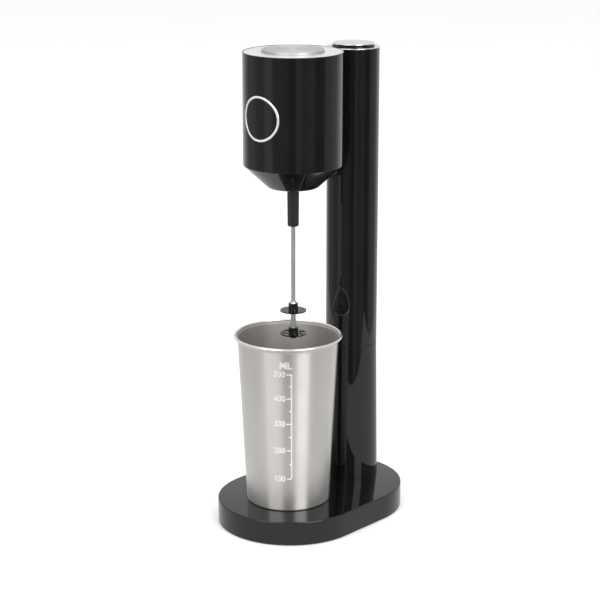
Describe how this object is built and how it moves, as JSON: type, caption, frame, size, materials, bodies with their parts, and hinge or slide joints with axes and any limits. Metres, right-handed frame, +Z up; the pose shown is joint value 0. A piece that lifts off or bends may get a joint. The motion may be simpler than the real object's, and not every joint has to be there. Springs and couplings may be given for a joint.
{
  "type": "milk frother",
  "caption": "Stand drink mixer: stadium base, round column, motor head with push buttons, a pull-out whisk and a flared steel cup.",
  "frame": {"origin": "centre of the base's footprint, on the surface it stands on", "axes": "+Z up along the column, -Y towards the front where the cup stands, +X to the right seen from the front"},
  "size_m": [0.1216, 0.1716, 0.3945],
  "materials": {
    "base_cover": "glossy",
    "base_plate": "matt",
    "ballast_weight": "raw",
    "rubber_feet": "matt",
    "base_screws": "plated",
    "cord_grommet": "matt",
    "terminal_block": "matt",
    "lower_column": "glossy",
    "upper_column": "glossy",
    "column_foot_screws": "plated",
    "column_screws": "black oxide",
    "column_bezel": "polished",
    "start_button": "polished",
    "button_spring": "bright",
    "switch_bracket": "matt",
    "start_switch": "matt",
    "power_lead": "satin",
    "neck": "glossy",
    "neck_trim": "satin silver",
    "neck_screws": "plated",
    "head_shell": "glossy",
    "head_cone": "glossy",
    "shaft_seal": "matt",
    "top_cap": "satin silver",
    "top_disc": "spun",
    "front_ring": "polished",
    "front_button": "glossy",
    "switch_board": "laminate",
    "board_screws": "plated",
    "motor_chassis": "plated",
    "chassis_screws": "plated",
    "motor_can": "plated",
    "motor_screws": "plated",
    "motor_end_cap": "matt",
    "shaft_bushes": "sintered",
    "field_magnets": "ferrite",
    "rotor_core": "laminated",
    "commutator": "bright",
    "motor_shaft": "ground",
    "drive_socket": "satin",
    "motor_lead": "satin",
    "whisk_rod": "polished",
    "rod_collar": "bright",
    "upper_disc": "satin",
    "lower_disc": "satin",
    "spacer_sleeve": "bright",
    "mixing_cup": "brushed"
  },
  "bodies": {
    "stand": {"base_cover": "base_cover", "base_plate": "base_plate", "ballast_weight": "ballast_weight", "rubber_feet": "rubber_feet", "base_screws": "base_screws", "cord_grommet": "cord_grommet", "terminal_block": "terminal_block", "lower_column": "lower_column", "upper_column": "upper_column", "column_foot_screws": "column_foot_screws", "column_screws": "column_screws", "column_bezel": "column_bezel", "button_spring": "button_spring", "switch_bracket": "switch_bracket", "start_switch": "start_switch", "power_lead": "power_lead", "neck": "neck", "neck_trim": "neck_trim", "neck_screws": "neck_screws", "head_shell": "head_shell", "head_cone": "head_cone", "shaft_seal": "shaft_seal", "top_cap": "top_cap", "top_disc": "top_disc", "front_ring": "front_ring", "switch_board": "switch_board", "board_screws": "board_screws", "motor_chassis": "motor_chassis", "chassis_screws": "chassis_screws", "motor_can": "motor_can", "motor_screws": "motor_screws", "motor_end_cap": "motor_end_cap", "shaft_bushes": "shaft_bushes", "field_magnets": "field_magnets", "motor_lead": "motor_lead"},
    "drive": {"motor_shaft": "motor_shaft", "rotor_core": "rotor_core", "commutator": "commutator", "drive_socket": "drive_socket"},
    "whisk": {"whisk_rod": "whisk_rod", "rod_collar": "rod_collar", "upper_disc": "upper_disc", "lower_disc": "lower_disc", "spacer_sleeve": "spacer_sleeve"},
    "cup": {"mixing_cup": "mixing_cup"},
    "start_button": {"start_button": "start_button"},
    "front_button": {"front_button": "front_button"}
  },
  "joints": [
    {"name": "start_button_press", "type": "slide", "parent": "stand", "child": "start_button", "axis": [0, 0, -1], "range_m": [0, 0.0025], "stiffness_N_per_m": 400, "springref_m": -0.004, "deforming": ["button_spring"]},
    {"name": "front_button_press", "type": "slide", "parent": "stand", "child": "front_button", "axis": [0, 1, 0], "range_m": [0, 0.0012], "stiffness_N_per_m": 800, "springref_m": -0.002},
    {"name": "drive_spin", "type": "hinge", "parent": "stand", "child": "drive", "pos_m": [0, -0.0216, 0.27], "axis": [0, 0, 1], "continuous": true},
    {"name": "whisk_pull", "type": "slide", "parent": "drive", "child": "whisk", "axis": [0, 0, -1], "range_m": [0, 0.025]},
    {"name": "cup_lift", "type": "slide", "parent": "stand", "child": "cup", "axis": [0, 0, 1], "range_m": [0, 0.1]}
  ]
}
